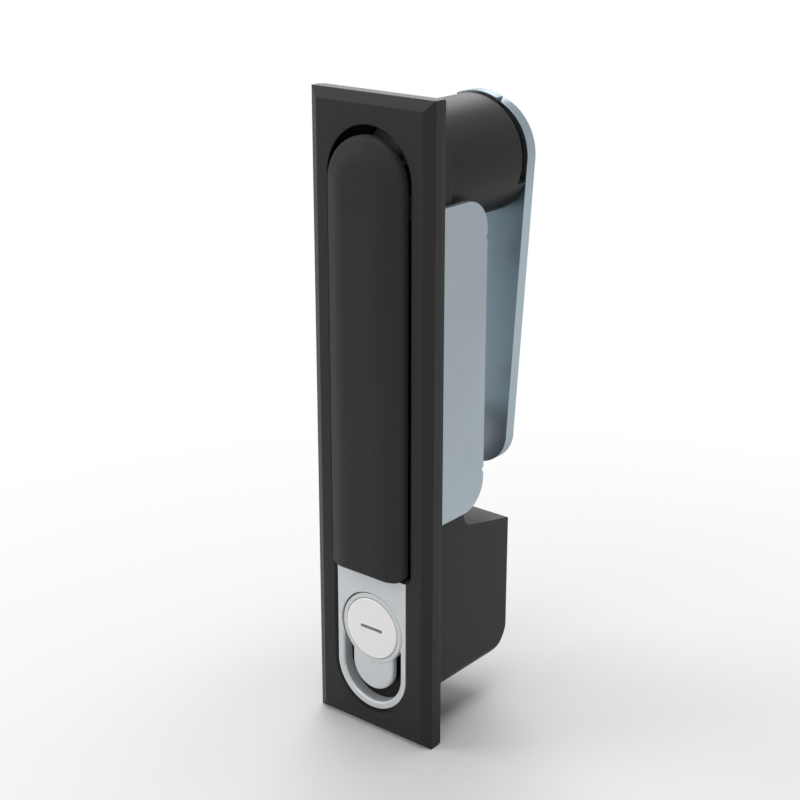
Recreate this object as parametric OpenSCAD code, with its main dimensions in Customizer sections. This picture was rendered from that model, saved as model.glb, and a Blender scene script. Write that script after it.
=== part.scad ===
// Swing handle lock for a sheet-metal cabinet door: a flush lift-and-turn handle, a key lock below it,
// a bearing barrel with a turning cam lever behind, and a clamping bracket that grips the panel.
// X is to the right as seen from the front, Y runs back into the cabinet, Z is up.
// The origin is the centre of the plate on the plane of the panel's front face.
// Depths are measured back from the front face of the plate, and heights from the plate's centre.

/* [Front plate] */
// Width of the front plate
plate_w = 36; // [34:0.5:44]
// Height of the front plate
plate_h = 160; // [150:1:180]
// Thickness of the plate's rim
plate_t = 4; // [3.8:0.1:4.4]
// Width of the bevel round the plate's front edge
bevel_w = 2.45; // [1:0.05:3]
// Depth of that bevel
bevel_d = 1.4; // [0.5:0.1:2]

/* [Gasket and panel] */
// Thickness of the gasket
gasket_t = 1; // [0.8:0.1:2]
// How far the gasket's edge lies inside the plate's edge
gasket_inset = 0.05; // [0:0.05:1]
// Corner radius of the gasket
gasket_corner = 0.5; // [0.5:0.1:2]
// Thickness of the panel that the lock is clamped to
panel_t = 1.5; // [1:0.1:3]

/* [Body behind the plate] */
// Width of the body, which passes through the panel's cut-out
body_w = 29.2; // [29:0.1:31]
// Depth of the pan round the handle
pan_depth = 12; // [11.8:0.1:14]
// Radius of the pan's rear edges
pan_edge = 0.6; // [0.3:0.1:1]
// Depth of the middle of the body, where the bracket is screwed on
middle_depth = 17.9; // [17.2:0.1:20]
// Height of the body's foot above the plate's lower end
foot_up = 12.35; // [10:0.05:13]
// Wall thickness of the casting
wall = 2; // [1.6:0.1:2.4]

/* [Handle recess] */
// Width of the recess that holds the handle
recess_w = 24.8; // [24.4:0.1:26]
// Depth of the recess
recess_depth = 9.5; // [8:0.1:9.6]
// Height of the recess's lower end above the plate's lower end
recess_up = 43.7; // [43.5:0.1:44.2]
// Corner radius at the lower end of the recess
recess_corner = 1.5; // [0.5:0.1:3]
// Distance of the turning axis below the plate's upper end
axis_down = 19.3; // [18:0.1:22]

/* [Bearing barrel] */
// Radius of the barrel
barrel_r = 14.6; // [14.4:0.1:15]
// Depth of the round recess that the spindle's head turns in
head_recess_depth = 16; // [15.8:0.1:18]
// Depth of the barrel's rim where the stop lug runs
notch_depth = 38.9; // [37:0.1:39.5]
// Full depth of the barrel
barrel_depth = 42.16; // [42:0.02:44]
// Inner radius of the notch that the stop lug runs in
notch_r = 12.4; // [12:0.1:12.8]
// Inner radius of the barrel's bore
barrel_bore_r = 9; // [8.8:0.1:9.4]
// Turning angle of the handle, between the two ends of the notch
turn_angle = 90; // [60:5:90]

/* [Lock case] */
// Depth of the case that holds the lock
case_depth = 37.1; // [36:0.1:42]
// Radius of the case's lower rear edge
case_round = 9.5; // [4:0.5:10]
// Height of the case's sloping top above the body's foot, at its rear edge
case_rear_h = 37.3; // [36.5:0.1:40]
// Slope of the case's top, in degrees
case_slope = 12; // [6:1:16]
// Radius of the hollow edge between the case's top and the middle of the body
case_fillet = 4; // [2:0.5:5]
// Radius of the case's upright rear edges
case_edge = 0.6; // [0.4:0.1:2]
// Radius of the case's lower side edges
case_side_round = 3; // [1:0.5:4]

/* [Swing handle] */
// Width of the handle
handle_w = 22.48; // [22:0.02:22.6]
// How far the handle's flat front stands in front of the plate
handle_proud = 3.9; // [3.5:0.1:4.2]
// How far the handle's side edges stand in front of the plate
handle_edge = 1.6; // [1:0.1:2]
// Width of the handle's flat front
handle_flat_w = 11.8; // [9:0.1:14]
// How far the handle's skirt reaches into the recess
handle_skirt = 0.6; // [0.3:0.1:0.6]
// Gap between the handle's lower end and the end of the recess
handle_end_gap = 0.55; // [0.4:0.05:1]
// Wall thickness of the handle's shell
handle_wall = 2; // [1.6:0.1:2.2]
// Radius of the edge between the handle's facets and its sides
handle_round = 1.5; // [0.4:0.1:1.8]
// Radius of the blend between the handle's flat front and its side facets
handle_blend = 11; // [2:0.5:12]
// How far the centre of the handle's domed end lies below the turning axis
dome_drop = 1.1; // [0:0.1:1.5]
// Radius of the rounding over the handle's domed end, seen from the side
dome_round = 4; // [2:0.5:4]
// Corner radius of the handle's lower end
handle_corner = 2.2; // [1:0.1:3]
// Depth of the lift pin behind the front face
pivot_depth = 3; // [2.8:0.1:3.2]
// Radius of the lift pin
pivot_r = 1.5; // [1.2:0.1:1.7]

/* [Spindle] */
// Radius of the spindle's shaft
spindle_r = 7; // [6.8:0.1:7.2]
// Side of the square that carries the cam lever
square = 10; // [9:0.1:10.4]
// Radius of the clamping screw's thread
cam_screw_r = 3; // [2.5:0.1:3.2]

/* [Cam lever] */
// Thickness of the lever
cam_t = 3.2; // [2.5:0.1:4]
// Gap between the barrel and the lever
cam_gap = 0.49; // [0.3:0.01:1]
// Radius of the lever's upper end
cam_top_r = 13.6; // [13:0.1:14]
// Radius of the lever's lower end
cam_end_r = 9.2; // [8:0.1:10]
// Distance between the centres of the two ends
cam_len = 71.7; // [60:0.1:72]
// Radius over the stop lug
lug_r = 15.1; // [14.8:0.1:15.5]
// Half the angle that the stop lug covers
lug_half = 23; // [15:1:30]

/* [Mounting bracket] */
// Thickness of the bracket's sheet
sheet_t = 1.5; // [1.2:0.1:2]
// Depth of the bracket's rear face
bracket_depth = 24; // [22.5:0.1:25]
// Distance of the legs' top below the turning axis
leg_down = 5.5; // [5:0.1:8]
// Height of the legs' foot above the plate's lower end
leg_up = 58.2; // [56:0.1:62]
// Radius of the legs' rear corners
leg_round = 7.5; // [4:0.5:9]
// Distance of the web's ends inside the legs' ends
web_inset = 9.4; // [9.3:0.1:12]
// Distance between the two clamping screws
clamp_pitch = 33; // [28:1:34]
// Radius of the clamping screws' thread
clamp_screw_r = 2.5; // [2:0.1:2.6]

/* [Lock insert] */
// Width of the bright insert
insert_w = 21.68; // [21.4:0.02:22]
// Thickness of the insert
insert_t = 3.2; // [3:0.1:3.4]
// Height of the centre of the insert's round foot above the plate's lower end
insert_up = 17.1; // [16.6:0.1:18]
// Half the width of the insert's pocket
pocket_r = 9.1; // [8.8:0.1:9.4]
// Radius of the insert's round hole
insert_hole_r = 9.65; // [9.6:0.05:9.9]
// Radius of the rounded lip of the pocket
lip_r = 0.6; // [0.4:0.1:1]

/* [Key lock] */
// Height of the lock's axis above the plate's lower end
lock_up = 28.15; // [27.8:0.05:28.5]
// Radius of the lock's front ring
lock_ring_r = 9.3; // [9.2:0.05:9.5]
// Radius of the lock's round body
lock_body_r = 8.5; // [8.2:0.1:8.8]
// Radius of the plug's face
plug_face_r = 8; // [7.8:0.05:8.3]
// How far the plug's face stands in front of the plate
plug_proud = 0.05; // [0:0.05:0.4]
// Radius of the plug's core
plug_r = 6.5; // [6:0.1:6.8]
// Thickness of the lock's front ring and tail
flange_t = 2; // [1.6:0.1:2.4]
// Half the width of the lock's front tail
tail_r = 6.4; // [6:0.1:6.8]
// Distance of the front tail's centre below the lock's axis
tail_down = 10.5; // [10:0.1:10.8]
// Half the width of the tail inside the case
inner_tail_r = 5; // [4.5:0.1:5.4]
// Distance of the inner tail's centre below the lock's axis
inner_tail_down = 7.6; // [7:0.1:8]
// Depth of the lock's rear end
lock_depth = 20; // [18:0.1:21]
// Angle that the key turns the plug
key_angle = 90; // [90:1:90]

/* [Locking bolt] */
// Travel of the bolt
bolt_travel = 3.4; // [3:0.1:3.5]
// Radius at which the driver's slot starts
driver_start_r = 5.8; // [5.6:0.1:6]
// Radius of the follower pin
follower_r = 1.1; // [1:0.05:1.2]
// Width of the bolt's arm
bolt_w = 4.8; // [4:0.1:5]
// Height of the bolt's arm
bolt_arm_h = 2.3; // [2:0.1:2.4]
// Half the width of the bolt's plate
bolt_plate_hw = 5; // [4.5:0.1:5.5]
// Half the width of the bolt's nose
nose_hw = 2; // [1.6:0.1:2.2]

/* [Screws and washers] */
// Radius of the clamping screws' heads
clamp_head_r = 4.6; // [4:0.1:5]
// Height of the clamping screws' heads
clamp_head_h = 3.2; // [2.6:0.1:4]
// Radius of the washers under them
clamp_washer_r = 5.2; // [5:0.1:6]
// Length of the clamping screw's thread in the spindle
cam_screw_len = 11; // [8:0.5:12]
// Radius of that screw's round head
cam_head_r = 5; // [4.6:0.1:5.4]
// Radius of the washer on the lever
cam_washer_r = 9; // [8:0.1:10]
// Width of the spring washer's ring
spring_washer_w = 2.4; // [1.6:0.1:2.8]

/* [Clearances] */
// Gap round a shaft that turns in a bore
run_fit = 0.05; // [0.02:0.01:0.09]
// Gap round a piece that is fixed in its seat
seat_fit = 0.1; // [0.05:0.05:0.2]
// Gap beside a piece that slides or swings
slide_fit = 0.3; // [0.2:0.05:0.4]

/* [Hidden] */

$fn = 96;
seat_depth = plate_t + gasket_t;
over = 1;

body_hw = body_w / 2;
recess_hw = recess_w / 2;
insert_hw = insert_w / 2;
bracket_hw = body_hw + sheet_t + 2 * seat_fit;

// Heights measured from the plate's centre, each tied to the end of the plate that it belongs to
plate_foot_z = -plate_h / 2;
axis_up = plate_h / 2 - axis_down;
lock_z = plate_foot_z + lock_up;
insert_foot_z = plate_foot_z + insert_up;
recess_foot_z = plate_foot_z + recess_up;
body_foot_z = plate_foot_z + foot_up;
leg_top = axis_up - leg_down;
leg_h = leg_top - plate_foot_z - leg_up;
web_top = leg_top - web_inset;
web_h = leg_h - 2 * web_inset;
case_rear_z = body_foot_z + case_rear_h;
case_front_z = case_rear_z + (case_depth - middle_depth) * tan(case_slope);
case_roof_z = case_rear_z - wall - 1;

// The block that carries the lock, and the bolt that slides over it
block_top_z = lock_z + lock_ring_r + 1.15;
arm_z = block_top_z + slide_fit;
arm_top_z = arm_z + bolt_arm_h;
bolt_front = 1.6;
nose_t = 1.8;
nose_top_z = recess_foot_z - slide_fit;
bolt_plate_y = lock_depth + slide_fit;
bolt_plate_t = 2;
driver_y = bolt_plate_y + bolt_plate_t + slide_fit;
driver_t = 2.2;
driver_r = driver_start_r + bolt_travel + follower_r + 1.6;
stub = 4.2;
stub_end = driver_y + driver_t - 0.1;
spring_y = 15;
spring_r = 1.7;
spring_wire_r = 0.3;
spring_hole_r = spring_r + spring_wire_r + seat_fit;
spring_top_z = block_top_z + 14.4;

// The cover in the rear of the case
cover_w = 22;
cover_h = 24.6;
cover_t = 1.5;
cover_z = case_rear_z - wall - cover_h / 2 - 2;
cover_ledge = 1.6;
cover_screw_x = cover_w / 2 - 2.4;
cover_screw_z = cover_h / 2 - 2.6;
cover_screw_r = 1.2;
cover_screw_len = 7.5;
cover_head_r = 2.2;
cover_head_h = 1.4;

// The screws that hold the insert from behind
insert_screw_x = 7.9;
insert_screw_z = lock_z + 11.9;
insert_screw_r = 1.4;
insert_boss_r = 2.7;
insert_boss_end = 6;
insert_screw_seat = 9;
insert_screw_front = 2.4;

// The rounding of the lock's front edges
tail_edge = 0.6;
ring_edge = 0.35;

// The screw that fixes the lock body from below
lock_screw_y = 12;
lock_screw_r = 2.5;
lock_screw_head_r = 4;
lock_screw_tip_z = lock_z - plug_r - 0.9;

// The bracket's screws
clamp_mid_z = web_top - web_h / 2;
clamp_screw_tip = recess_depth + 2.4;
clamp_boss_r = 4.6;
washer_t = 1.2;
clamp_hex_r = 2;
clamp_hole_r = clamp_screw_r + 0.3;

// The spindle and what is on it
head_r = recess_hw - slide_fit;
head_front = pivot_depth + 10;
head_rear = head_recess_depth - 0.2;
knuckle_hw = 3.2;
ear_in = knuckle_hw + slide_fit;
ear_out = 6.8;
ear_r = 3.5;
knuckle_r = 3.3;
cam_front = barrel_depth + cam_gap;
cam_rear = cam_front + cam_t;
bush_front = head_recess_depth + 3;
bush_rear = notch_depth - 0.5;
ring_groove_y = bush_rear + 0.2;
ring_t = 1.1;
ring_groove_r = spindle_r - 0.7;
seal_wire_r = (barrel_bore_r - spindle_r) / 2 - 0.07;
cam_washer_t = 1.4;
spring_washer_t = 1.6;
screw_head_h = 4;
cam_hex_r = 2.9;
stop_gap = 0.4;

// The handle's profile, as distance from its middle and depth
handle_hw = handle_w / 2;
flat_hw = handle_flat_w / 2;
handle_foot_z = recess_foot_z + handle_end_gap;
inner_hw = handle_hw - handle_wall;
handle_outer = rounded([
    [0, -handle_proud, 0],
    [flat_hw, -handle_proud, handle_blend],
    [handle_hw, -handle_edge, handle_round],
    [handle_hw, handle_skirt, 0],
    [0, handle_skirt, 0]
], 6);
dome_z = axis_up - dome_drop;
handle_inner = [
    [0, handle_wall - handle_proud],
    [flat_hw - handle_wall / 4, handle_wall - handle_proud],
    [inner_hw, handle_wall - handle_edge - 0.7],
    [inner_hw, handle_skirt + over],
    [0, handle_skirt + over]
];
catch_z = handle_foot_z + 0.7;
catch_leg_h = 2.4;
catch_leg_hw = nose_hw + 2;
catch_plate_hw = 4.5;
catch_plate_h = 9;
catch_plate_y = -0.6;
catch_leg_end = bolt_front + nose_t + 1;
catch_screw_z = catch_z + 6;
catch_block_h = catch_plate_h + 2;
rib_t = 1.2;
rib_count = 4;
rib_pitch = 16;

// The two rubber pads that the closed handle rests on
bumper_z = recess_foot_z + 6.5;
bumper_h = 6;
bumper_in = 6.8;
bumper_out = 10.8;
bumper_front = handle_skirt + run_fit;
bumper_t = 1.4;

// Corner rounding: points are [x, y, radius], and each corner with a radius becomes an arc
function unit(v) = v / norm(v);
function corner(a, b, c, r, steps) =
    let (u = unit([a[0] - b[0], a[1] - b[1]]), v = unit([c[0] - b[0], c[1] - b[1]]))
    let (half = acos(max(-1, min(1, u * v))) / 2)
    let (mid = unit(u + v), centre = [b[0], b[1]] + mid * r / sin(half))
    let (start = [b[0], b[1]] + u * r / tan(half) - centre, sweep = 180 - 2 * half)
    let (side = u[0] * v[1] - u[1] * v[0] > 0 ? 1 : -1)
    [for (i = [0:steps]) centre + turned(start, -side * sweep * i / steps)];
function turned(p, a) = [p[0] * cos(a) - p[1] * sin(a), p[0] * sin(a) + p[1] * cos(a)];
function rounded(pts, steps) =
    let (n = len(pts))
    [for (i = [0:n - 1])
        each pts[i][2] <= 0
            ? [[pts[i][0], pts[i][1]]]
            : corner(pts[(i + n - 1) % n], pts[i], pts[(i + 1) % n], pts[i][2], steps)];
function mirrored(pts) = [for (p = pts) [p[0], -p[1]]];
function clock(r, a) = [r * sin(a), r * cos(a)];

// Placing helpers: depths run back along Y from the plate's front face
module at_seat() {
    translate([0, -seat_depth, 0])
        children();
}
module slab(front, rear) {
    translate([0, rear, 0])
        rotate([90, 0, 0])
            linear_extrude(rear - front)
                children();
}
module across(left, right) {
    translate([left, 0, 0])
        rotate([90, 0, 90])
            linear_extrude(right - left)
                children();
}
module upright(low, high) {
    translate([0, 0, low])
        linear_extrude(high - low)
            children();
}
module rod(front, rear, r, x = 0, z = 0) {
    slab(front, rear)
        translate([x, z])
            circle(r);
}
module box2d(left, right, low, high) {
    translate([left, low])
        square([right - left, high - low]);
}
module mirror_pair() {
    children();
    mirror([1, 0, 0])
        children();
}
module sector2d(r, from, to, steps = 24) {
    polygon(concat([[0, 0]], [for (i = [0:steps]) clock(r, from + (to - from) * i / steps)]));
}

// Outlines seen from the front
module recess2d() {
    translate([0, axis_up])
        circle(recess_hw);
    polygon(rounded([
        [-recess_hw, axis_up, 0],
        [-recess_hw, recess_foot_z, recess_corner],
        [recess_hw, recess_foot_z, recess_corner],
        [recess_hw, axis_up, 0]
    ], 6));
}
module insert2d(grow, top) {
    translate([0, insert_foot_z])
        circle(insert_hw + grow);
    box2d(-insert_hw - grow, insert_hw + grow, insert_foot_z, top);
}
module lock_inner2d(grow = 0) {
    translate([0, lock_z])
        circle(lock_body_r + grow);
    translate([0, lock_z - inner_tail_down])
        circle(inner_tail_r + grow);
    box2d(-inner_tail_r - grow, inner_tail_r + grow, lock_z - inner_tail_down, lock_z);
}
module body2d(grow = 0) {
    translate([0, axis_up])
        circle(body_hw + grow);
    box2d(-body_hw - grow, body_hw + grow, body_foot_z - grow, axis_up);
}

// The casting: plate, pan, bearing barrel and lock case in one piece
module plate_blank() {
    front_w = plate_w / 2 - bevel_w;
    front_h = plate_h / 2 - bevel_w;
    intersection() {
        upright(-plate_h / 2, plate_h / 2)
            polygon([
                [-plate_w / 2, plate_t], [-plate_w / 2, bevel_d], [-front_w, 0],
                [front_w, 0], [plate_w / 2, bevel_d], [plate_w / 2, plate_t]
            ]);
        across(-plate_w / 2, plate_w / 2)
            polygon([
                [plate_t, -plate_h / 2], [bevel_d, -plate_h / 2], [0, -front_h],
                [0, front_h], [bevel_d, plate_h / 2], [plate_t, plate_h / 2]
            ]);
    }
}
module body_blank() {
    middle_top = axis_up - barrel_r - 0.6;
    intersection() {
        across(-body_hw, body_hw)
            polygon(rounded([
                [plate_t - over, body_foot_z, 0],
                [case_depth, body_foot_z, case_round],
                [case_depth, case_rear_z, 0.8],
                [middle_depth, case_front_z, case_fillet],
                [middle_depth, middle_top, 2],
                [plate_t - over, middle_top, 0]
            ], 12));
        rear_rounded(body_foot_z, middle_top, case_depth, case_edge);
        slab(plate_t - over, case_depth + over)
            polygon(rounded([
                [-body_hw, body_foot_z, case_side_round],
                [body_hw, body_foot_z, case_side_round],
                [body_hw, middle_top + over, 0],
                [-body_hw, middle_top + over, 0]
            ], 8));
    }
    rear_rounded(middle_top - over, axis_up, pan_depth, pan_edge);
    rod(plate_t - over, pan_depth - pan_edge, body_hw, 0, axis_up);
}
module rear_rounded(low, high, depth, r) {
    upright(low, high)
        polygon(rounded([
            [-body_hw, plate_t - over, 0],
            [-body_hw, depth, r],
            [body_hw, depth, r],
            [body_hw, plate_t - over, 0]
        ], 6));
}
module barrel_blank() {
    rod(plate_t - over, notch_depth, barrel_r, 0, axis_up);
    rod(notch_depth - over, barrel_depth, notch_r, 0, axis_up);
    slab(notch_depth - over, barrel_depth)
        translate([0, axis_up])
            intersection() {
                circle(barrel_r);
                sector2d(2 * barrel_r, turn_angle + lug_half + stop_gap, 360 - lug_half - stop_gap);
            }
}
module recess_cut() {
    slab(-over, recess_depth)
        recess2d();
    rod(-over, head_recess_depth, recess_hw, 0, axis_up);
    rod(-over, barrel_depth + over, barrel_bore_r, 0, axis_up);
}
module bumper_posts() {
    mirror_pair()
        slab(bumper_front + bumper_t, recess_depth + over)
            box2d(bumper_in, bumper_out, bumper_z, bumper_z + bumper_h);
}
module insert_cut() {
    slab(-over, insert_t)
        insert2d(3 * seat_fit, recess_foot_z + 0.5);
    mirror_pair() {
        rod(insert_t - over, insert_boss_end + seat_fit, insert_boss_r + seat_fit,
            insert_screw_x, insert_screw_z);
        rod(insert_t - over, lock_depth, insert_screw_r + 0.15, insert_screw_x, insert_screw_z);
        rod(insert_screw_seat, lock_depth + over, insert_boss_r + 0.3, insert_screw_x, insert_screw_z);
    }
}
module case_cut() {
    inner = body_hw - wall;
    // The space behind the block, for the driver and the bolt
    intersection() {
        across(-inner, inner)
            polygon(rounded([
                [lock_depth, body_foot_z + wall, 0],
                [case_depth - wall, body_foot_z + wall, case_round - wall],
                [case_depth - wall, case_roof_z, 0],
                [lock_depth, case_roof_z, 0]
            ], 8));
        upright(body_foot_z, case_roof_z + over)
            box2d(-inner, inner, 0, case_depth);
    }
    // The space over the block
    slab(insert_screw_seat, lock_depth + over)
        box2d(-inner, inner, block_top_z, recess_foot_z);
    slab(recess_depth + wall, lock_depth + over)
        box2d(-inner, inner, block_top_z, case_roof_z);
    // The channel that guides the bolt's arm into the handle recess
    slab(bolt_front - 0.2, recess_depth + wall + over)
        box2d(-bolt_w / 2 - slide_fit, bolt_w / 2 + slide_fit, block_top_z, arm_top_z + bolt_travel + 0.5);
    upright(case_roof_z - over, spring_top_z)
        translate([0, spring_y])
            circle(spring_hole_r);
    slab(insert_t - over, lock_depth + over)
        lock_inner2d(seat_fit);
}
module cover_cut() {
    slab(case_depth - wall - over, case_depth + over)
        translate([0, cover_z])
            square([cover_w - 2 * cover_ledge, cover_h - 2 * cover_ledge], center = true);
    slab(case_depth - cover_t - seat_fit, case_depth + over)
        translate([0, cover_z])
            square([cover_w + 2 * seat_fit, cover_h + 2 * seat_fit], center = true);
}
module cover_bosses() {
    for (s = [-1, 1])
        slab(case_depth - cover_screw_len - 0.5, case_depth - cover_t - seat_fit)
            difference() {
                intersection() {
                    translate([s * (cover_screw_x + 1), cover_z - s * (cover_screw_z + 0.6)])
                        square([8.4, 8.4], center = true);
                    box2d(-body_hw + wall / 2, body_hw - wall / 2, body_foot_z + wall, case_roof_z + 1);
                }
                translate([s * cover_screw_x, cover_z - s * cover_screw_z])
                    circle(cover_screw_r + run_fit);
            }
}
module middle_pocket() {
    low = case_front_z + case_fillet + 1;
    high = axis_up - barrel_r - 0.6 - wall;
    difference() {
        slab(pan_depth, middle_depth + over)
            box2d(-body_hw + wall, body_hw - wall, low, high);
        for (z = clamp_heights())
            rod(pan_depth - over, middle_depth, clamp_boss_r, 0, z);
    }
}
function clamp_heights() = [clamp_mid_z - clamp_pitch / 2, clamp_mid_z + clamp_pitch / 2];

module housing() {
    color("#3a3b3d")
        at_seat()
            difference() {
                union() {
                    difference() {
                        union() {
                            plate_blank();
                            body_blank();
                            barrel_blank();
                        }
                        recess_cut();
                        case_cut();
                        middle_pocket();
                    }
                    bumper_posts();
                    cover_bosses();
                }
                insert_cut();
                cover_cut();
                for (z = clamp_heights())
                    rod(clamp_screw_tip - 0.5, middle_depth + over, clamp_screw_r + run_fit, 0, z);
                upright(body_foot_z - over, lock_screw_tip_z)
                    translate([0, lock_screw_y])
                        circle(lock_screw_r + run_fit);
                for (s = [-1, 1])
                    rod(case_depth - cover_screw_len - 0.5, case_depth, cover_screw_r + run_fit,
                        s * cover_screw_x, cover_z - s * cover_screw_z);
            }
}

module panel_gasket() {
    hw = plate_w / 2 - gasket_inset;
    hh = plate_h / 2 - gasket_inset;
    color("#202022")
        at_seat()
            slab(plate_t, seat_depth)
                difference() {
                    polygon(rounded([
                        [-hw, -hh, gasket_corner], [hw, -hh, gasket_corner],
                        [hw, hh, gasket_corner], [-hw, hh, gasket_corner]
                    ], 6));
                    body2d(seat_fit);
                }
}

// A sheet bent to a U: the legs press on the panel from inside when the screws draw the web forward
module bracket_leg() {
    leg_front = seat_depth + panel_t;
    across(bracket_hw - sheet_t, bracket_hw)
        polygon(rounded([
            [leg_front, leg_top - leg_h, 0],
            [bracket_depth - 0.7, leg_top - leg_h, leg_round],
            [bracket_depth - 0.7, leg_top, leg_round],
            [leg_front, leg_top, 0]
        ], 8));
}
module mounting_bracket() {
    inner = bracket_hw - sheet_t;
    bend = sheet_t + 0.6;
    leg_front = seat_depth + panel_t;
    color("#a9b2b8")
        at_seat()
            difference() {
                union() {
                    mirror_pair()
                        bracket_leg();
                    upright(web_top - web_h, web_top)
                        polygon(concat(
                            rounded([
                                [-bracket_hw, leg_front, 0], [-bracket_hw, bracket_depth, bend],
                                [bracket_hw, bracket_depth, bend], [bracket_hw, leg_front, 0]
                            ], 5),
                            rounded([
                                [inner, leg_front, 0], [inner, bracket_depth - sheet_t, bend - sheet_t],
                                [-inner, bracket_depth - sheet_t, bend - sheet_t], [-inner, leg_front, 0]
                            ], 5)
                        ));
                }
                for (z = [web_top, web_top - web_h])
                    across(-bracket_hw - over, bracket_hw + over)
                        translate([bracket_depth - 0.5, z])
                            circle(0.7);
                for (z = clamp_heights())
                    rod(bracket_depth - sheet_t - over, bracket_depth + over, clamp_hole_r, 0, z);
            }
}
module bracket_screws() {
    head_y = bracket_depth + washer_t;
    color("#c3c6c9")
        at_seat()
            for (z = clamp_heights())
                translate([0, 0, z])
                    difference() {
                        union() {
                            rod(clamp_screw_tip, head_y + over, clamp_screw_r);
                            rotate([-90, 0, 0])
                                rotate_extrude()
                                    polygon(rounded([
                                        [0, head_y, 0], [clamp_head_r, head_y, 0],
                                        [clamp_head_r, head_y + clamp_head_h, 1.3],
                                        [0, head_y + clamp_head_h, 0]
                                    ], 6));
                        }
                        slab(head_y + clamp_head_h - 1.8, head_y + clamp_head_h + over)
                            circle(clamp_hex_r, $fn = 6);
                    }
}
module bracket_washers() {
    color("#b4b8bb")
        at_seat()
            for (z = clamp_heights())
                slab(bracket_depth, bracket_depth + washer_t)
                    translate([0, z])
                        difference() {
                            circle(clamp_washer_r);
                            circle(clamp_screw_r + seat_fit);
                        }
}

// The bright insert, with a round hole that runs into a rounded pocket
module lip_profile(r) {
    polygon(concat(
        [[0, insert_t + over], [r, insert_t + over]],
        [for (i = [0:5]) [r + lip_r * (1 - cos(i * 18)), lip_r * (1 - sin(i * 18))]],
        [[r + lip_r, -over], [0, -over]]
    ));
}
module lip_bore(r, z) {
    translate([0, 0, z])
        rotate([-90, 0, 0])
            rotate_extrude()
                lip_profile(r);
}
module lock_insert() {
    // The pocket's rounded lip ends just below where the pocket's side meets the round hole
    lip_end = sqrt(pow(insert_hole_r, 2) - pow(pocket_r, 2)) + 0.25;
    color("#d3d6d8")
        at_seat()
            difference() {
                union() {
                    slab(0, insert_t)
                        insert2d(0, recess_foot_z - 0.2);
                    mirror_pair()
                        rod(insert_t - over, insert_boss_end, insert_boss_r, insert_screw_x, insert_screw_z);
                }
                rod(-over, insert_t + over, insert_hole_r, 0, lock_z);
                lip_bore(pocket_r, insert_foot_z);
                translate([0, 0, insert_foot_z])
                    linear_extrude(lock_z - lip_end - insert_foot_z) {
                        lip_profile(pocket_r);
                        mirror([1, 0])
                            lip_profile(pocket_r);
                    }
                slab(-over, insert_t + over)
                    box2d(-pocket_r, pocket_r, lock_z - lip_end - over, lock_z);
                slab(bolt_front - 0.2, insert_t + over)
                    box2d(-bolt_w / 2 - slide_fit, bolt_w / 2 + slide_fit, block_top_z, recess_foot_z);
                mirror_pair()
                    rod(insert_screw_front - 0.4, insert_boss_end + over, insert_screw_r + run_fit,
                        insert_screw_x, insert_screw_z);
            }
}
module insert_screws() {
    color("#b9bcbf")
        at_seat()
            mirror_pair()
                difference() {
                    union() {
                        rod(insert_screw_front, insert_screw_seat + 0.5, insert_screw_r,
                            insert_screw_x, insert_screw_z);
                        rod(insert_screw_seat, insert_screw_seat + 1.8, insert_boss_r,
                            insert_screw_x, insert_screw_z);
                    }
                    slab(insert_screw_seat + 0.8, insert_screw_seat + 3)
                        translate([insert_screw_x, insert_screw_z])
                            circle(1.3, $fn = 6);
                }
}

// The fixed body of the lock: a front flange with a tail, and a narrower body in the case
module flange_profile(r, front, edge) {
    polygon(rounded([[0, front, 0], [r, front, edge], [r, flange_t, 0], [0, flange_t, 0]], 5));
}
module lock_tail() {
    translate([0, 0, lock_z - tail_down])
        rotate([-90, 0, 0])
            rotate_extrude()
                flange_profile(tail_r, 0.4, tail_edge);
    upright(lock_z - tail_down, lock_z)
        mirror_pair()
            flange_profile(tail_r, 0.4, tail_edge);
}
module lock_body() {
    face = 0.15;
    counter = 1.3;
    color("#cfd2d4")
        at_seat()
            difference() {
                union() {
                    translate([0, 0, lock_z])
                        rotate([-90, 0, 0])
                            rotate_extrude()
                                flange_profile(lock_ring_r, face, ring_edge);
                    lock_tail();
                    slab(flange_t - 0.5, lock_depth)
                        lock_inner2d();
                }
                rod(-over, counter, plug_face_r + 3 * run_fit, 0, lock_z);
                rod(0, lock_depth + over, plug_r + run_fit, 0, lock_z);
                upright(body_foot_z, lock_screw_tip_z)
                    translate([0, lock_screw_y])
                        circle(lock_screw_r + run_fit);
            }
}
module lock_body_screw() {
    seat_z = body_foot_z;
    color("#b9bcbf")
        at_seat()
            difference() {
                union() {
                    upright(seat_z - 0.5, lock_screw_tip_z - 0.3)
                        translate([0, lock_screw_y])
                            circle(lock_screw_r);
                    upright(seat_z - 1.8, seat_z)
                        translate([0, lock_screw_y])
                            circle(lock_screw_head_r);
                }
                upright(seat_z - 3, seat_z - 0.8)
                    translate([0, lock_screw_y])
                        circle(1.5, $fn = 6);
            }
}
module case_cover() {
    color("#3a3b3d")
        at_seat()
            slab(case_depth - cover_t, case_depth)
                difference() {
                    translate([0, cover_z])
                        square([cover_w, cover_h], center = true);
                    for (s = [-1, 1])
                        translate([s * cover_screw_x, cover_z - s * cover_screw_z])
                            circle(cover_screw_r + 0.2);
                }
}
module cover_screws() {
    color("#b9bcbf")
        at_seat()
            for (s = [-1, 1])
                translate([s * cover_screw_x, 0, cover_z - s * cover_screw_z])
                    difference() {
                        union() {
                            rod(case_depth - cover_screw_len, case_depth + 0.5, cover_screw_r);
                            rod(case_depth, case_depth + cover_head_h, cover_head_r);
                        }
                        slab(case_depth + cover_head_h - 0.8, case_depth + cover_head_h + over)
                            circle(cover_screw_r - 0.2, $fn = 6);
                    }
}

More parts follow.
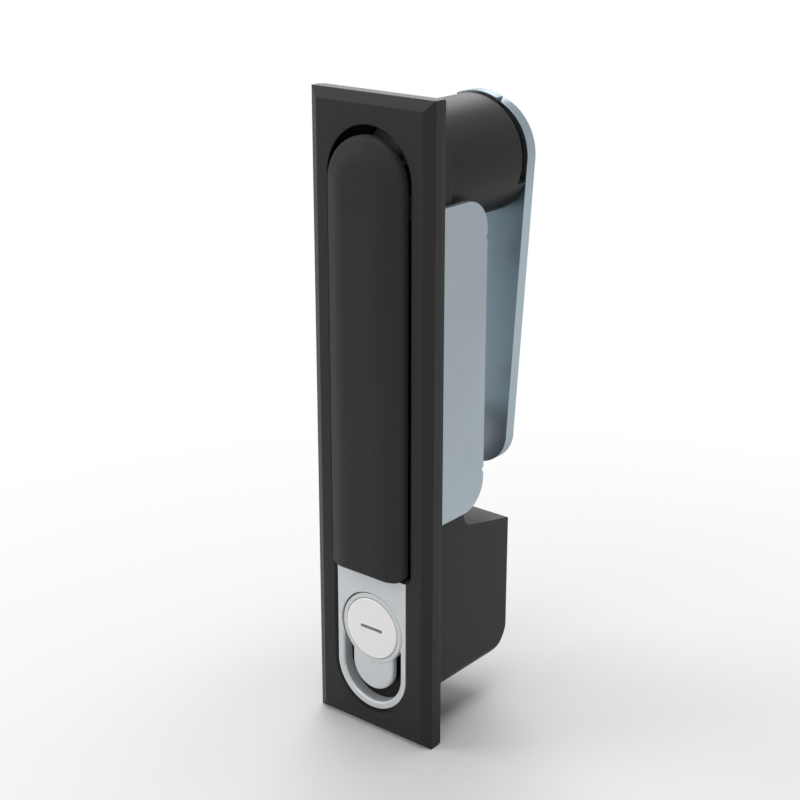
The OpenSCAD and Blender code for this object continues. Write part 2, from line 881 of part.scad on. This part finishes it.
// The spindle's bearing and seal
module spindle_bush() {
    color("#b08d4a")
        at_seat()
            slab(bush_front, bush_rear)
                translate([0, axis_up])
                    difference() {
                        circle(barrel_bore_r - run_fit / 2);
                        circle(spindle_r + run_fit);
                    }
}
module spindle_seal() {
    color("#1b1b1c")
        at_seat()
            translate([0, (head_recess_depth + bush_front) / 2, axis_up])
                rotate([90, 0, 0])
                    rotate_extrude()
                        translate([(barrel_bore_r + spindle_r) / 2, 0])
                            circle(seal_wire_r, $fn = 32);
}
module handle_bumpers() {
    color("#1b1b1c")
        at_seat()
            mirror_pair()
                slab(bumper_front, bumper_front + bumper_t)
                    box2d(bumper_in, bumper_out, bumper_z, bumper_z + bumper_h);
}

// The spindle: a fork for the handle, a round shaft and a square for the lever
module spindle() {
    color("#8d9296")
        at_seat()
            translate([0, 0, axis_up])
                difference() {
                    union() {
                        rod(head_front, head_rear, head_r);
                        rod(head_rear - over, cam_front, spindle_r);
                        slab(cam_front - over, cam_rear - 0.25)
                            intersection() {
                                square(square, center = true);
                                circle(spindle_r);
                            }
                        mirror_pair()
                            across(ear_in, ear_out) {
                                translate([pivot_depth, 0])
                                    circle(ear_r);
                                box2d(pivot_depth, head_front + over, -ear_r, ear_r);
                            }
                    }
                    across(-ear_out - over, ear_out + over)
                        translate([pivot_depth, 0])
                            circle(pivot_r + 0.01);
                    slab(ring_groove_y, ring_groove_y + ring_t + 0.1)
                        difference() {
                            circle(spindle_r + over);
                            circle(ring_groove_r);
                        }
                    rod(cam_front - cam_screw_len - 1, cam_rear + over, cam_screw_r + run_fit);
                }
}
module handle_pivot_pin() {
    color("#c9ccce")
        at_seat()
            translate([0, 0, axis_up])
                across(-ear_out, ear_out)
                    translate([pivot_depth, 0])
                        circle(pivot_r);
}
module retaining_ring() {
    color("#77797c")
        at_seat()
            slab(ring_groove_y + 0.05, ring_groove_y + 0.05 + ring_t)
                translate([0, axis_up])
                    difference() {
                        circle(barrel_bore_r - slide_fit);
                        circle(ring_groove_r + run_fit);
                        sector2d(2 * barrel_r, 160, 200, 4);
                    }
}

// The lever: two round ends joined by straight edges, with a raised stop lug on its front
module lever2d() {
    tilt = asin((cam_top_r - cam_end_r) / cam_len);
    inset = 0.03;
    top = (cam_top_r - inset) * [cos(tilt), -sin(tilt)];
    end = (cam_end_r - inset) * [cos(tilt), -sin(tilt)] - [0, cam_len];
    circle(cam_top_r);
    translate([0, -cam_len])
        circle(cam_end_r);
    polygon([top, end, [-end[0], end[1]], [-top[0], top[1]]]);
}
module cam_lever() {
    lug_front = notch_depth + 1.1;
    color("#9aa6ac")
        at_seat()
            translate([0, 0, axis_up])
                difference() {
                    union() {
                        slab(cam_front, cam_rear)
                            lever2d();
                        slab(lug_front, cam_front + 0.1)
                            difference() {
                                intersection() {
                                    circle(lug_r);
                                    sector2d(2 * lug_r, -lug_half, lug_half);
                                }
                                circle(notch_r + slide_fit);
                            }
                    }
                    slab(cam_front - over, cam_rear + over)
                        intersection() {
                            square(square + 2 * run_fit, center = true);
                            circle(spindle_r + run_fit);
                        }
                }
}
module cam_washer() {
    color("#b4b8bb")
        at_seat()
            slab(cam_rear, cam_rear + cam_washer_t)
                translate([0, axis_up])
                    difference() {
                        circle(cam_washer_r);
                        circle(cam_screw_r + 2 * seat_fit);
                    }
}
module cam_spring_washer() {
    front = cam_rear + cam_washer_t;
    color("#9da1a4")
        at_seat()
            slab(front, front + spring_washer_t)
                translate([0, axis_up])
                    difference() {
                        circle(cam_screw_r + spring_washer_w);
                        circle(cam_screw_r + seat_fit);
                        rotate(30)
                            box2d(-0.4, 0.4, 0, 2 * cam_screw_r);
                    }
}
module cam_screw() {
    head_y = cam_rear + cam_washer_t + spring_washer_t;
    color("#c3c6c9")
        at_seat()
            translate([0, 0, axis_up])
                difference() {
                    union() {
                        rod(cam_front - cam_screw_len, head_y + over, cam_screw_r);
                        rod(head_y, head_y + screw_head_h, cam_head_r);
                    }
                    slab(head_y + screw_head_h - 2, head_y + screw_head_h + over)
                        circle(cam_hex_r, $fn = 6);
                }
}

// The handle: one profile, drawn straight down and turned round the top, then hollowed from behind
module handle_shell(profile, foot_z) {
    translate([0, 0, foot_z])
        linear_extrude(dome_z - foot_z) {
            polygon(profile);
            mirror([1, 0])
                polygon(profile);
        }
    translate([0, 0, dome_z])
        rotate([90, 0, 0])
            rotate_extrude(angle = 180)
                polygon(mirrored(profile));
}
module handle_end_limits() {
    top_z = axis_up + handle_hw + over;
    slab(-handle_proud - over, handle_skirt + over)
        polygon(rounded([
            [-handle_hw - over, top_z, 0],
            [-handle_hw - over, handle_foot_z + handle_corner + over, 0],
            [-handle_hw, handle_foot_z + handle_corner + over, 0],
            [-handle_hw, handle_foot_z, handle_corner],
            [handle_hw, handle_foot_z, handle_corner],
            [handle_hw, handle_foot_z + handle_corner + over, 0],
            [handle_hw + over, handle_foot_z + handle_corner + over, 0],
            [handle_hw + over, top_z, 0]
        ], 6));
}
module handle_front_limit() {
    across(-handle_hw - over, handle_hw + over)
        polygon(rounded([
            [handle_skirt + over, handle_foot_z, 0],
            [-handle_proud, handle_foot_z, 0.9],
            [-handle_proud, dome_z + handle_hw, dome_round],
            [handle_skirt + over, dome_z + handle_hw, 0]
        ], 8));
}
module swing_handle() {
    color("#38393b")
        at_seat()
            difference() {
                union() {
                    difference() {
                        intersection() {
                            handle_shell(handle_outer, handle_foot_z);
                            handle_end_limits();
                            handle_front_limit();
                        }
                        handle_shell(handle_inner, handle_foot_z + handle_wall);
                    }
                    // Solid end for the catch, cross ribs and the knuckle for the lift pin
                    slab(handle_wall - handle_proud - 0.5, catch_plate_y)
                        box2d(-inner_hw, inner_hw, handle_foot_z + 1, handle_foot_z + catch_block_h);
                    for (i = [0:rib_count - 1])
                        slab(handle_wall - handle_proud - 0.2, handle_skirt - 0.3)
                            translate([0, handle_foot_z + 20 + i * rib_pitch])
                                box2d(-inner_hw + 2.6, inner_hw - 2.6, 0, rib_t);
                    translate([0, 0, axis_up])
                        across(-knuckle_hw, knuckle_hw) {
                            translate([pivot_depth, 0])
                                circle(knuckle_r);
                            box2d(handle_wall - handle_proud - 0.2, pivot_depth, -knuckle_r, knuckle_r);
                        }
                }
                translate([0, 0, axis_up])
                    across(-knuckle_hw - over, knuckle_hw + over)
                        translate([pivot_depth, 0])
                            circle(pivot_r + run_fit);
                slab(catch_plate_y, handle_skirt + over)
                    box2d(-catch_plate_hw - seat_fit, catch_plate_hw + seat_fit,
                        handle_foot_z - over, catch_z + catch_plate_h);
                rod(-2.7, handle_skirt + over, insert_screw_r + run_fit, 0, catch_screw_z);
            }
}
module handle_catch() {
    color("#b9bcbf")
        at_seat()
            difference() {
                union() {
                    slab(catch_plate_y, catch_plate_y + 1.1)
                        box2d(-catch_plate_hw, catch_plate_hw, catch_z, catch_z + catch_plate_h);
                    slab(catch_plate_y, catch_leg_end)
                        box2d(-catch_leg_hw, catch_leg_hw, catch_z, catch_z + catch_leg_h);
                }
                slab(bolt_front - slide_fit, bolt_front + nose_t + slide_fit)
                    box2d(-nose_hw - slide_fit, nose_hw + slide_fit,
                        catch_z - over, catch_z + catch_leg_h + over);
                rod(catch_plate_y - over, catch_plate_y + 3, insert_screw_r + 0.15, 0, catch_screw_z);
            }
}
module catch_screw() {
    seat = catch_plate_y + 1.1;
    color("#c3c6c9")
        at_seat()
            translate([0, 0, catch_screw_z])
                difference() {
                    union() {
                        rod(-2.6, seat + 0.3, insert_screw_r);
                        rod(seat, seat + 1, 2.4);
                    }
                    slab(seat + 0.4, seat + 2)
                        circle(1, $fn = 6);
                }
}

// The turning plug, with a plain key slit in its face and a square stub at its rear
module lock_plug() {
    color("#e3e1de")
        at_seat()
            translate([0, 0, lock_z])
                difference() {
                    union() {
                        rotate([-90, 0, 0])
                            rotate_extrude()
                                polygon(rounded([
                                    [0, -plug_proud, 0], [plug_face_r, -plug_proud, 0.25],
                                    [plug_face_r, 1.2, 0], [plug_r, 1.2, 0],
                                    [plug_r, lock_depth + 0.1, 0], [0, lock_depth + 0.1, 0]
                                ], 4));
                        slab(lock_depth - over, stub_end)
                            square(stub, center = true);
                    }
                    slab(-over, 11)
                        square([6.8, 0.9], center = true);
                    rod(lock_depth - 1, stub_end + over, 1.25);
                }
}
// A disc with a slot that runs outwards evenly with the angle, so the follower rises evenly
function slot_r(a) = driver_start_r + bolt_travel * a / key_angle;
function slot_half(a) =
    (follower_r + 0.12) * sqrt(1 + pow(bolt_travel / (key_angle * PI / 180) / slot_r(a), 2));
module driver_slot2d() {
    steps = 18;
    angles = [for (i = [0:steps]) key_angle * i / steps];
    polygon(concat(
        [for (a = angles) clock(slot_r(a) + slot_half(a), -a)],
        [for (i = [steps:-1:0]) clock(slot_r(angles[i]) - slot_half(angles[i]), -angles[i])]
    ));
    for (a = [0, key_angle])
        translate(clock(slot_r(a), -a))
            circle(follower_r + 0.14);
}
module lock_driver() {
    color("#a8a088")
        at_seat()
            translate([0, 0, lock_z])
                slab(driver_y, driver_y + driver_t)
                    difference() {
                        circle(driver_r);
                        square(stub + 2 * run_fit, center = true);
                        driver_slot2d();
                    }
}
module driver_screw() {
    seat = driver_y + driver_t;
    color("#b9bcbf")
        at_seat()
            translate([0, 0, lock_z])
                difference() {
                    union() {
                        rod(lock_depth - 0.8, seat + 0.5, 1.2);
                        rod(seat, seat + 1.6, 3.4);
                    }
                    slab(seat + 0.7, seat + 3)
                        circle(1.2, $fn = 6);
                }
}

// The bolt: a plate behind the lock, an arm over it and a nose that enters the handle's catch
module locking_bolt() {
    color("#b0b4b6")
        at_seat()
            difference() {
                union() {
                    slab(bolt_plate_y, bolt_plate_y + bolt_plate_t)
                        difference() {
                            box2d(-bolt_plate_hw, bolt_plate_hw, lock_z + stub / 2 + slide_fit, arm_top_z);
                            translate([0, lock_z])
                                circle(stub * 0.5 * sqrt(2) + slide_fit);
                        }
                    slab(bolt_front, bolt_plate_y + over)
                        box2d(-bolt_w / 2, bolt_w / 2, arm_z, arm_top_z);
                    slab(bolt_front, bolt_front + nose_t)
                        box2d(-nose_hw, nose_hw, arm_z, nose_top_z);
                }
                rod(bolt_plate_y - over, bolt_plate_y + bolt_plate_t + over, follower_r + 0.01,
                    0, lock_z + driver_start_r);
            }
}
module follower_pin() {
    color("#c9ccce")
        at_seat()
            rod(bolt_plate_y, driver_y + driver_t, follower_r, 0, lock_z + driver_start_r);
}

// A pressure spring between the bolt's arm and its hole in the casting
function coil_point(t, turns, low, high) =
    [spring_r * cos(360 * turns * t), spring_r * sin(360 * turns * t), low + (high - low) * t];
module bolt_spring() {
    turns = 6;
    rings = 84;
    sides = 6;
    low = arm_top_z + spring_wire_r + 0.02;
    high = spring_top_z - spring_wire_r - 0.02;
    ring_points = [for (i = [0:rings])
        let (t = i / rings, c = coil_point(t, turns, low, high))
        let (out = [cos(360 * turns * t), sin(360 * turns * t), 0])
        for (j = [0:sides - 1])
            c + spring_wire_r * (cos(360 * j / sides) * out + sin(360 * j / sides) * [0, 0, 1])];
    walls = [for (i = [0:rings - 1])
        for (j = [0:sides - 1])
            let (k = (j + 1) % sides)
            [i * sides + j, i * sides + k, (i + 1) * sides + k, (i + 1) * sides + j]];
    start_cap = [for (j = [sides - 1:-1:0]) j];
    end_cap = [for (j = [0:sides - 1]) rings * sides + j];
    color("#c9ccce")
        at_seat()
            translate([0, spring_y, 0])
                polyhedron(ring_points, concat([start_cap], walls, [end_cap]));
}

housing();
panel_gasket();
mounting_bracket();
bracket_screws();
bracket_washers();
lock_insert();
insert_screws();
lock_body();
lock_body_screw();
case_cover();
cover_screws();
spindle_bush();
spindle_seal();
handle_bumpers();
spindle();
cam_lever();
cam_washer();
cam_spring_washer();
cam_screw();
handle_pivot_pin();
retaining_ring();
swing_handle();
handle_catch();
catch_screw();
lock_plug();
lock_driver();
driver_screw();
locking_bolt();
follower_pin();
bolt_spring();
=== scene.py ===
import math

import bpy
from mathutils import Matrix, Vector


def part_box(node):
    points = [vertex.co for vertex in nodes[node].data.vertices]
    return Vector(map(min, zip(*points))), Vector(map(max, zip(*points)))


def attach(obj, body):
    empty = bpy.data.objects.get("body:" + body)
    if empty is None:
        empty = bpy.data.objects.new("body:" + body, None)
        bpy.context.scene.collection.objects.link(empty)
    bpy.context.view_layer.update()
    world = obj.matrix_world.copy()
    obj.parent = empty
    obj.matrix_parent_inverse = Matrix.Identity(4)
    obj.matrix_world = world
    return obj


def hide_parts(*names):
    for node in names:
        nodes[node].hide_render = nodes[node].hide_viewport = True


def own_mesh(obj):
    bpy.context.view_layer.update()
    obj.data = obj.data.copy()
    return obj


# A swing handle lock in the photograph's view: its finishes, the floor and the light.
# Every shape comes from the CAD model. Lengths are in metres and angles in degrees.

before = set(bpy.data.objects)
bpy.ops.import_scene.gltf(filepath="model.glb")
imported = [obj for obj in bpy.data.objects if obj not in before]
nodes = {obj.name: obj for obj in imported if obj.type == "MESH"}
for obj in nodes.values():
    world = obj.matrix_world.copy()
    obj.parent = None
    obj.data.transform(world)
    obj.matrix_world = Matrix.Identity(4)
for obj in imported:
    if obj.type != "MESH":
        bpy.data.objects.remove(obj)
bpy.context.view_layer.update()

PLATE_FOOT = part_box("housing")[0].z
WHITE = (1, 1, 1, 1)

# The camera, solved from the plate's own edges
CAMERA_PLACE = (0.23389, -0.28018, 0.13857)
CAMERA_DOWN = 19.842  # below the horizon
CAMERA_TURN = 39.242  # from +Y towards -X
CAMERA_LENS = 73.52
CAMERA_SENSOR = 36.0
CLIP_NEAR, CLIP_FAR = 0.01, 20.0

# Square lamps: name, place, target, side and power in watts
LAMPS = (
    ("left_front", (-0.75, -0.55, 0.55), (0, 0, 0), 0.6, 2.4),
    ("top", (0.0, 0.1, 1.0), (0, 0, 0), 0.8, 7.8),
    ("back_left", (-0.55, 0.65, 0.6), (0, 0.02, 0), 0.7, 4.0),
    ("front_top", (0.1, -0.8, 0.9), (0, 0, 0), 0.6, 1.8),
)
SKY_COLOR = (0.96, 0.98, 1.0, 1)
SKY_STRENGTH = 0.06

# The floor is grey and shaded round the lock, and turns white between two distances from
# a point beside it
FLOOR_HALF = 4.0
FLOOR_COLOR = (0.89, 0.89, 0.89, 1)
FLOOR_MIDDLE = (0.03, 0.0, PLATE_FOOT)
WHITE_FROM, WHITE_TO = 0.07, 0.24

# Noise that every finish uses, and the part of its range that counts
NOISE_DETAIL = 4.0
NOISE_LOW, NOISE_HIGH = 0.3, 0.7
SLOW_ROUGHNESS, FINE_ROUGHNESS = 0.55, 0.6
BEVEL_SAMPLES = 4

# Ranges of x, y and z where painted shade makes their finish darker than the rest of it
RECESS_SHADE = ((-0.0126, 0.0126), (-0.0044, 0.0058), (-0.076, 0.0738))
BARREL_SHADE = (None, (0.0085, 0.050), (0.049, 0.090))
LEVER_TOP_SHADE = (None, None, (0.068, 0.090))
BRACKET_TOP_SHADE = (None, None, (0.030, 0.060))

# Painted shade of the gap round the insert, as a dark line in the plate: how far it reaches
# inside and outside the insert's outline, and where it fades out to the right of the foot
GAP_SHADE_INNER, GAP_SHADE_OUTER = 0.0003, 0.0011
GAP_SHADE_SOFT = 0.0001
GAP_SHADE_FADE_X = (0.004, 0.008)
GAP_SHADE_TOP_SOFT = 0.001
GAP_SHADE_KEEP = 0.05


# Helpers for node trees
def add(tree, kind, **settings):
    """A new node with inputs set by name, where _ stands for a space."""
    node = tree.nodes.new(kind)
    for name, value in settings.items():
        node.inputs[name.replace("_", " ")].default_value = value
    return node


def math_node(tree, operation, a, b):
    """One step of arithmetic on two sockets or numbers."""
    node = tree.nodes.new("ShaderNodeMath")
    node.operation = operation
    for socket, value in zip(node.inputs, (a, b)):
        if isinstance(value, (int, float)):
            socket.default_value = value
        else:
            tree.links.new(value, socket)
    return node.outputs["Value"]


def product(tree, *values):
    result = values[0]
    for value in values[1:]:
        result = math_node(tree, "MULTIPLY", result, value)
    return result


def multiplied(tree, a, b):
    """The product of two colours."""
    mix = tree.nodes.new("ShaderNodeMix")
    mix.data_type = "RGBA"
    mix.blend_type = "MULTIPLY"
    mix.inputs["Factor"].default_value = 1.0
    tree.links.new(a, mix.inputs["A"])
    tree.links.new(b, mix.inputs["B"])
    return mix.outputs["Result"]


def noise(tree, coords, scale, roughness):
    tex = add(tree, "ShaderNodeTexNoise", Scale=scale, Detail=NOISE_DETAIL, Roughness=roughness)
    tree.links.new(coords, tex.inputs["Vector"])
    return tex.outputs["Fac"]


def ramp(tree, fac, low, high, color_low, color_high):
    """A colour that follows fac from low to high."""
    node = tree.nodes.new("ShaderNodeValToRGB")
    ends = node.color_ramp.elements
    for end, place, color in zip(ends, (low, high), (color_low, color_high)):
        end.position = place
        end.color = (*color, 1)
    tree.links.new(fac, node.inputs["Fac"])
    return node.outputs["Color"]


def span(tree, fac, low, high, to_low, to_high):
    """A number that follows fac from low to high, and stays put beyond them."""
    node = add(tree, "ShaderNodeMapRange",
               From_Min=low, From_Max=high, To_Min=to_low, To_Max=to_high)
    tree.links.new(fac, node.inputs["Value"])
    return node.outputs["Result"]


def within(tree, value, low, high, soft):
    """1 where the value lies between low and high, with soft ends."""
    rise = span(tree, value, low - soft, low, 0.0, 1.0)
    fall = span(tree, value, high, high + soft, 1.0, 0.0)
    return product(tree, rise, fall)


def object_coords(tree):
    return tree.nodes.new("ShaderNodeTexCoord").outputs["Object"]


def object_axes(tree):
    axes = tree.nodes.new("ShaderNodeSeparateXYZ")
    tree.links.new(object_coords(tree), axes.inputs["Vector"])
    return axes.outputs


def linear(*levels):
    """A colour written as sRGB levels of 0 to 255, in linear light."""
    shares = [level / 255.0 for level in levels]
    return tuple(c / 12.92 if c <= 0.04045 else ((c + 0.055) / 1.055) ** 2.4 for c in shares)


def scaled(color, k):
    return tuple(min(1.0, c * k) for c in color)


# Finishes
def surface(name, color, metallic, rough, spread=0.06, grain=2500.0, bump=0.1, depth=0.00002,
            edge=0.0002, patch=60.0, patch_spread=0.04, specular=0.5, rough_spread=0.05,
            edge_tint=1.0):
    """A finish with edges rounded by the radius edge. Slow noise of scale patch shifts the
    colour by patch_spread either way. Fine noise of scale grain darkens it by up to spread,
    shifts the roughness by rough_spread and makes the bumps."""
    mat = bpy.data.materials.new(name)
    mat.use_nodes = True
    tree = mat.node_tree
    tree.nodes.clear()
    out = tree.nodes.new("ShaderNodeOutputMaterial")
    shader = tree.nodes.new("ShaderNodeBsdfPrincipled")
    tree.links.new(shader.outputs["BSDF"], out.inputs["Surface"])

    coords = object_coords(tree)
    slow = noise(tree, coords, patch, SLOW_ROUGHNESS)
    fine = noise(tree, coords, grain, FINE_ROUGHNESS)
    tone = ramp(tree, slow, NOISE_LOW, NOISE_HIGH,
                scaled(color, 1 - patch_spread), scaled(color, 1 + patch_spread))
    speck = ramp(tree, fine, NOISE_LOW, NOISE_HIGH, (1 - spread,) * 3, (1.0,) * 3)
    gloss = span(tree, fine, NOISE_LOW, NOISE_HIGH, rough - rough_spread, rough + rough_spread)
    tree.links.new(multiplied(tree, tone, speck), shader.inputs["Base Color"])
    tree.links.new(gloss, shader.inputs["Roughness"])
    shader.inputs["Metallic"].default_value = metallic
    shader.inputs["Specular IOR Level"].default_value = specular
    shader.inputs["Specular Tint"].default_value = (edge_tint, edge_tint, edge_tint, 1)

    bevel = add(tree, "ShaderNodeBevel", Radius=edge)
    bevel.samples = BEVEL_SAMPLES
    bumper = add(tree, "ShaderNodeBump", Strength=bump, Distance=depth)
    tree.links.new(fine, bumper.inputs["Height"])
    tree.links.new(bevel.outputs["Normal"], bumper.inputs["Normal"])
    tree.links.new(bumper.outputs["Normal"], shader.inputs["Normal"])
    return mat


def darken(mat, mask, keep):
    """Leaves the share keep of the finish's colour where the mask is 1."""
    tree = mat.node_tree
    shader = next(n for n in tree.nodes if n.type == "BSDF_PRINCIPLED")
    tone = ramp(tree, mask, 0.0, 1.0, (1.0,) * 3, (keep,) * 3)
    link = shader.inputs["Base Color"].links[0]
    source = link.from_socket
    tree.links.remove(link)
    tree.links.new(multiplied(tree, source, tone), shader.inputs["Base Color"])


def paint_shade_in_box(mat, ranges, soft, keep):
    """Paints shade by darkening a box of object space with soft edges. A range of None is
    endless.
    """
    tree = mat.node_tree
    axes = object_axes(tree)
    masks = [within(tree, axes[axis], *limits, soft)
             for axis, limits in zip("XYZ", ranges) if limits is not None]
    darken(mat, product(tree, *masks), keep)


def paint_gap_shade(mat):
    """Paints the shade of the gap between plate and insert as a dark line in the plate along
    the insert's left side and round its foot.
    """
    tree = mat.node_tree
    low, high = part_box("lock_insert")
    radius = (high.x - low.x) / 2
    axes = object_axes(tree)
    # The distance from the centre of the round foot, or from the middle line above it
    height = math_node(tree, "SUBTRACT", axes["Z"], low.z + radius)
    offset = tree.nodes.new("ShaderNodeCombineXYZ")
    tree.links.new(axes["X"], offset.inputs["X"])
    tree.links.new(math_node(tree, "MINIMUM", height, 0.0), offset.inputs["Z"])
    reach = tree.nodes.new("ShaderNodeVectorMath")
    reach.operation = "LENGTH"
    tree.links.new(offset.outputs["Vector"], reach.inputs[0])
    line = within(tree, reach.outputs["Value"],
                  radius - GAP_SHADE_INNER, radius + GAP_SHADE_OUTER, GAP_SHADE_SOFT)
    left = span(tree, axes["X"], *GAP_SHADE_FADE_X, 1.0, 0.0)
    under_handle = span(tree, axes["Z"], high.z, high.z + GAP_SHADE_TOP_SOFT, 1.0, 0.0)
    darken(mat, product(tree, line, left, under_handle), GAP_SHADE_KEEP)


BLACK = surface("black_powder_coat", linear(48, 48, 50), 0.0, 0.46, spread=0.08, grain=2600,
                bump=0.2, depth=0.00003, edge=0.0004, patch=25, patch_spread=0.03, specular=0.2)
BLACK_HANDLE = surface("black_handle_coat", linear(65, 65, 68), 0.0, 0.42, spread=0.08,
                       grain=2600, bump=0.15, depth=0.00003, edge=0.0008, patch=25,
                       patch_spread=0.03, specular=0.05)
BLACK_COVER = surface("black_moulded_cover", linear(34, 34, 36), 0.0, 0.5, grain=3500,
                      bump=0.3, depth=0.00004, specular=0.3)
GASKET = surface("black_gasket", linear(40, 40, 42), 0.0, 0.5, grain=1800, bump=0.3,
                 depth=0.00004, specular=0.3)
RUBBER = surface("black_rubber", linear(26, 26, 27), 0.0, 0.7, grain=1800, bump=0.3,
                 depth=0.00005, edge=0.0003, specular=0.3)
ZINC = surface("blue_zinc_sheet", linear(177, 189, 196), 0.85, 0.38, spread=0.04, grain=1500,
               bump=0.04, edge=0.00018, patch=35, edge_tint=0.8)
ZINC_LEVER = surface("blue_zinc_lever", linear(168, 183, 191), 0.9, 0.3, spread=0.02,
                     grain=1700, bump=0.02, edge=0.00025, patch=30, rough_spread=0.02,
                     edge_tint=0.65)
CHROME = surface("satin_chrome", linear(229, 233, 235), 0.25, 0.34, spread=0.03, grain=3200,
                 bump=0.05, edge=0.00012, patch_spread=0.02)
NICKEL = surface("satin_nickel", linear(249, 248, 246), 0.6, 0.42, spread=0.03, grain=3600,
                 bump=0.08, edge=0.00015, patch_spread=0.015)
SCREW = surface("plated_screw", linear(176, 178, 180), 1.0, 0.32, spread=0.08, edge=0.00015)
SPRING = surface("spring_steel", linear(115, 116, 118), 1.0, 0.35, spread=0.1, edge=0.0001)
BRONZE = surface("sintered_bronze", linear(166, 136, 86), 1.0, 0.45, spread=0.2, grain=3000,
                 bump=0.3, edge=0.0001)
CASTING = surface("grey_zinc_casting", linear(140, 143, 147), 1.0, 0.42, spread=0.15,
                  grain=1800, bump=0.3, depth=0.00004)

# Painted shade: the casting is darker in the recess behind the handle, on the barrel and, along
# the gap, beside the insert
paint_shade_in_box(BLACK, RECESS_SHADE, soft=0.0004, keep=0.12)
paint_shade_in_box(BLACK, BARREL_SHADE, soft=0.006, keep=0.36)
paint_gap_shade(BLACK)
# Painted shade: the lever and the bracket are darker towards their upper ends, as painted
# darker reflections there
paint_shade_in_box(ZINC_LEVER, LEVER_TOP_SHADE, soft=0.02, keep=0.68)
paint_shade_in_box(ZINC, BRACKET_TOP_SHADE, soft=0.05, keep=0.8)

FINISH = {
    "housing": BLACK,
    "panel_gasket": GASKET,
    "mounting_bracket": ZINC,
    "bracket_screws": SCREW,
    "bracket_washers": SCREW,
    "lock_insert": CHROME,
    "insert_screws": SCREW,
    "lock_body": CHROME,
    "lock_body_screw": SCREW,
    "case_cover": BLACK_COVER,
    "cover_screws": SCREW,
    "spindle_bush": BRONZE,
    "spindle_seal": RUBBER,
    "handle_bumpers": RUBBER,
    "bolt_spring": SPRING,
    "spindle": CASTING,
    "cam_lever": ZINC_LEVER,
    "cam_washer": SCREW,
    "cam_spring_washer": SPRING,
    "cam_screw": SCREW,
    "handle_pivot_pin": SPRING,
    "retaining_ring": SPRING,
    "swing_handle": BLACK_HANDLE,
    "handle_catch": SCREW,
    "catch_screw": SCREW,
    "lock_plug": NICKEL,
    "lock_driver": BRONZE,
    "driver_screw": SCREW,
    "locking_bolt": ZINC,
    "follower_pin": SPRING,
}
for name, obj in nodes.items():
    if not obj.material_slots:
        obj.data.materials.append(FINISH[name])
    for slot in obj.material_slots:
        slot.material = FINISH[name]


def add_object(name, data):
    obj = bpy.data.objects.new(name, data)
    bpy.context.scene.collection.objects.link(obj)
    return obj


def add_spring():
    """The bolt's spring as a piece of its own, because the rising bolt presses it together."""
    coil = add_object("bolt_spring_coil", nodes["bolt_spring"].data.copy())
    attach(coil, "housing")
    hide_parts("bolt_spring")
    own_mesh(coil)


# Floor, world, lamps and camera
def seen_directly(tree):
    """1 for a ray from the camera, or one that a gloss or a glass sends on, and 0 for
    diffuse light."""
    path = tree.nodes.new("ShaderNodeLightPath").outputs
    value = path["Is Camera Ray"]
    for kind in ("Is Glossy Ray", "Is Transmission Ray"):
        value = math_node(tree, "MAXIMUM", value, path[kind])
    return value


def blended(tree, fac, first, second, out):
    """Shows the shader first where fac is 0, and second where it is 1."""
    mix = tree.nodes.new("ShaderNodeMixShader")
    tree.links.new(fac, mix.inputs["Fac"])
    tree.links.new(first, mix.inputs[1])
    tree.links.new(second, mix.inputs[2])
    tree.links.new(mix.outputs["Shader"], out.inputs["Surface"])


def floor_material():
    mat = bpy.data.materials.new("pale_floor")
    mat.use_nodes = True
    tree = mat.node_tree
    tree.nodes.clear()
    out = tree.nodes.new("ShaderNodeOutputMaterial")
    diffuse = add(tree, "ShaderNodeBsdfDiffuse", Color=FLOOR_COLOR)
    glow = add(tree, "ShaderNodeEmission", Color=WHITE, Strength=1.0)
    geometry = tree.nodes.new("ShaderNodeNewGeometry")
    distance = tree.nodes.new("ShaderNodeVectorMath")
    distance.operation = "DISTANCE"
    distance.inputs[1].default_value = FLOOR_MIDDLE
    tree.links.new(geometry.outputs["Position"], distance.inputs[0])
    far = span(tree, distance.outputs["Value"], WHITE_FROM, WHITE_TO, 0.0, 1.0)
    blended(tree, product(tree, far, seen_directly(tree)),
            diffuse.outputs["BSDF"], glow.outputs["Emission"], out)
    return mat


def add_floor():
    mesh = bpy.data.meshes.new("floor")
    s = FLOOR_HALF
    corners = [(x, y, PLATE_FOOT) for x, y in ((-s, -s), (s, -s), (s, s), (-s, s))]
    mesh.from_pydata(corners, [], [(0, 1, 2, 3)])
    mesh.materials.append(floor_material())
    obj = add_object("floor", mesh)


def add_world():
    world = bpy.data.worlds.new("studio")
    bpy.context.scene.world = world
    world.use_nodes = True
    tree = world.node_tree
    tree.nodes.clear()
    out = tree.nodes.new("ShaderNodeOutputWorld")
    light = add(tree, "ShaderNodeBackground", Color=SKY_COLOR, Strength=SKY_STRENGTH)
    white = add(tree, "ShaderNodeBackground", Color=WHITE, Strength=1.0)
    blended(tree, seen_directly(tree),
            light.outputs["Background"], white.outputs["Background"], out)


def add_lamp(name, place, target, side, power):
    data = bpy.data.lights.new(name, "AREA")
    data.shape = "SQUARE"
    data.size = side
    data.energy = power
    aim = Vector(target) - Vector(place)
    lamp = add_object(name, data)
    lamp.location = place
    lamp.rotation_euler = aim.to_track_quat("-Z", "Y").to_euler()


def add_camera():
    data = bpy.data.cameras.new("camera")
    data.lens = CAMERA_LENS
    data.sensor_width = CAMERA_SENSOR
    data.clip_start = CLIP_NEAR
    data.clip_end = CLIP_FAR
    camera = add_object("camera", data)
    camera.location = CAMERA_PLACE
    camera.rotation_euler = (math.radians(90 - CAMERA_DOWN), 0.0, math.radians(CAMERA_TURN))
    bpy.context.scene.camera = camera


add_spring()
add_floor()
add_world()
for lamp in LAMPS:
    add_lamp(*lamp)
add_camera()

bpy.context.scene.view_settings.view_transform = "Standard"
